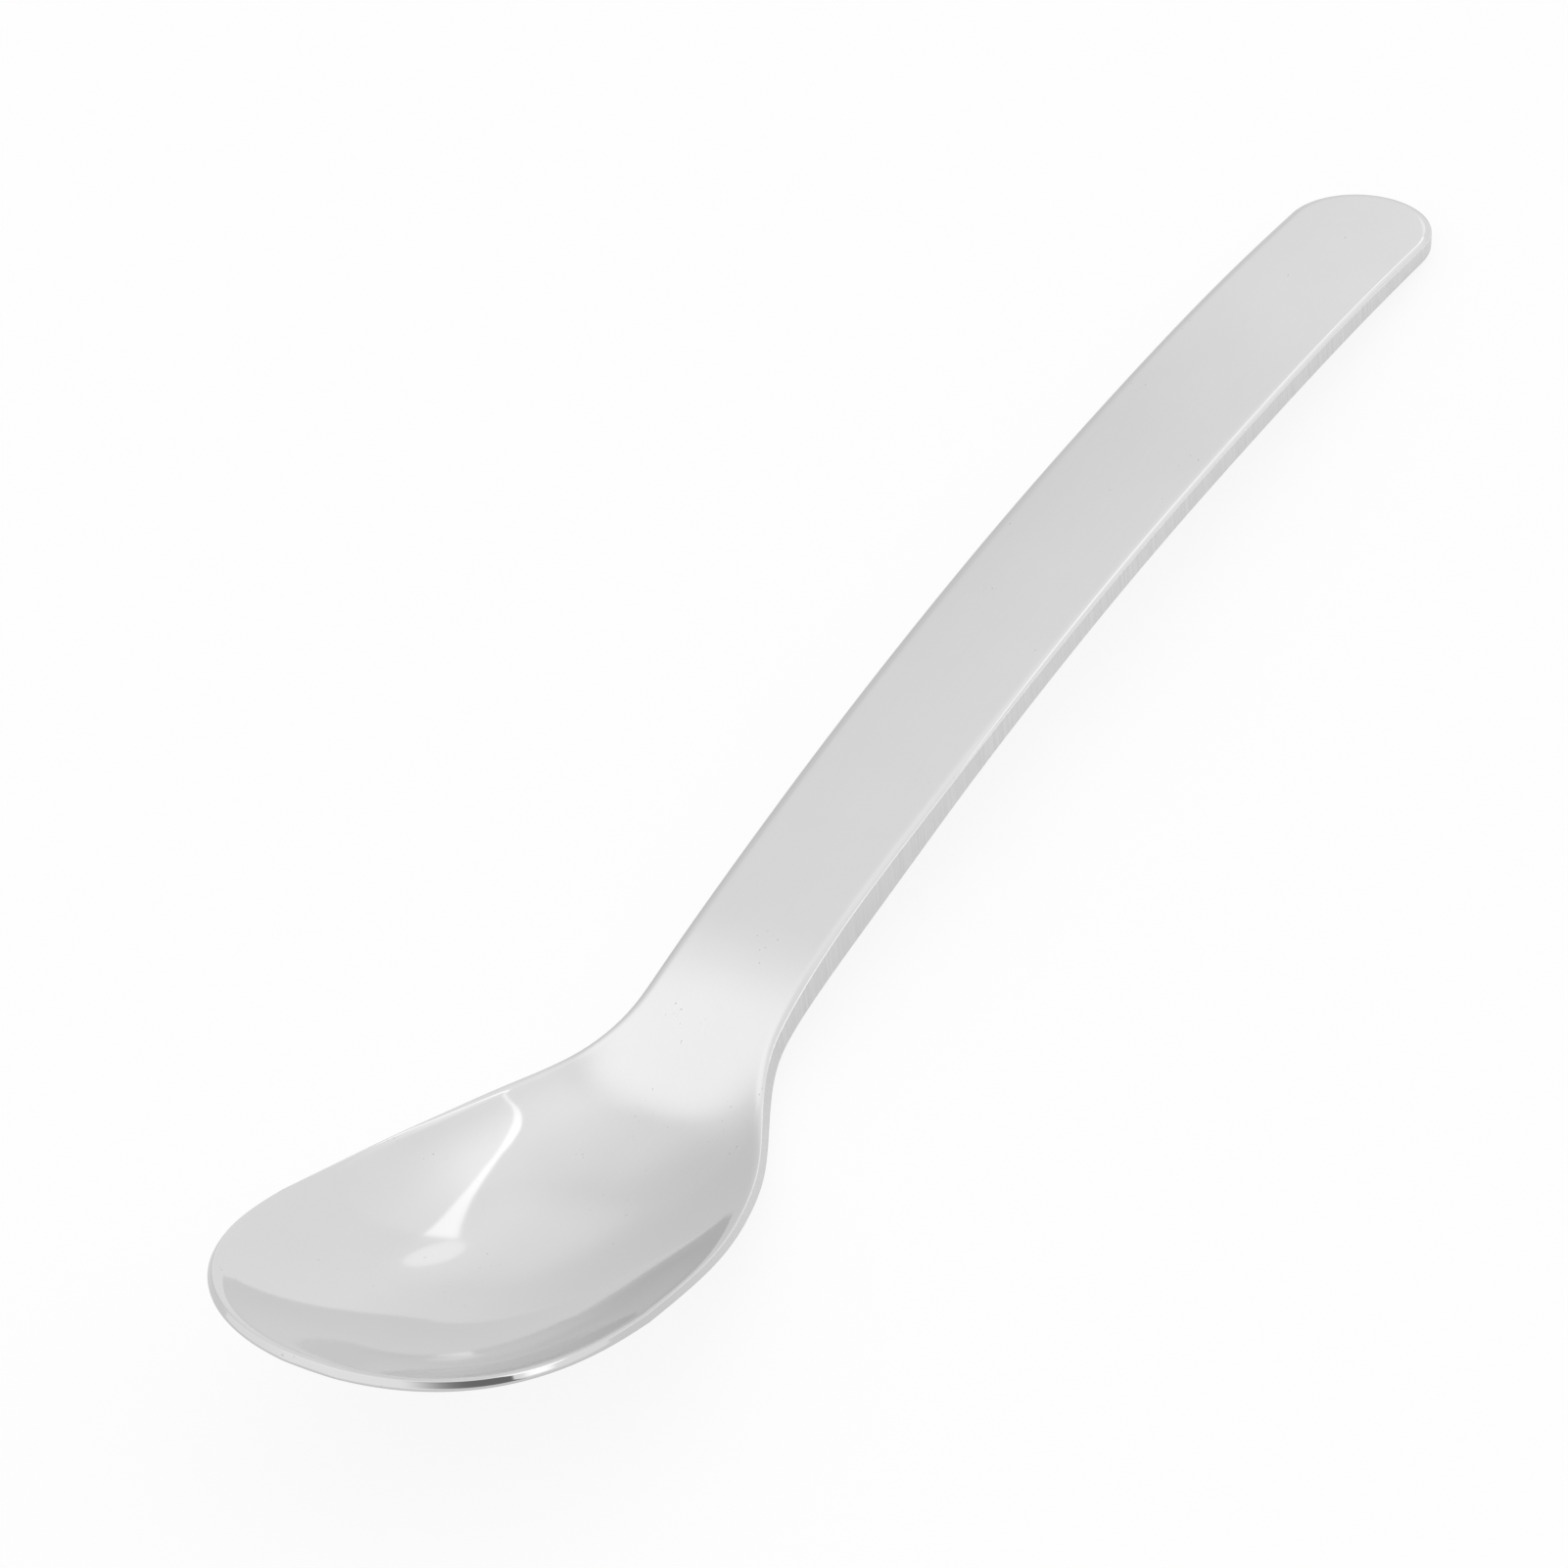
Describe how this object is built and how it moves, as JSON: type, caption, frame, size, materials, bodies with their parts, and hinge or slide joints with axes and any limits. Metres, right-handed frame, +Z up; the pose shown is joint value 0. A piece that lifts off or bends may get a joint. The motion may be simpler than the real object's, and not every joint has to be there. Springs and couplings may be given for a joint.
{
  "type": "soup spoon",
  "caption": "Polished steel soup spoon with a deep oval bowl, a rounded neck and a flat, gently arched strip handle with a round end.",
  "frame": {"origin": "centre of the bounding box in X and Y, on the surface the spoon lies on, with the belly of the bowl and the handle's end touching Z = 0", "axes": "+X along the length, from the bowl's tip to the handle's end; Y across the bowl; +Z up, out of the open bowl"},
  "size_m": [0.2046, 0.0386, 0.0204],
  "materials": {
    "polished_steel": "mirror polished stainless steel"
  },
  "bodies": {
    "root": {"spoon": "polished_steel"}
  },
  "joints": []
}
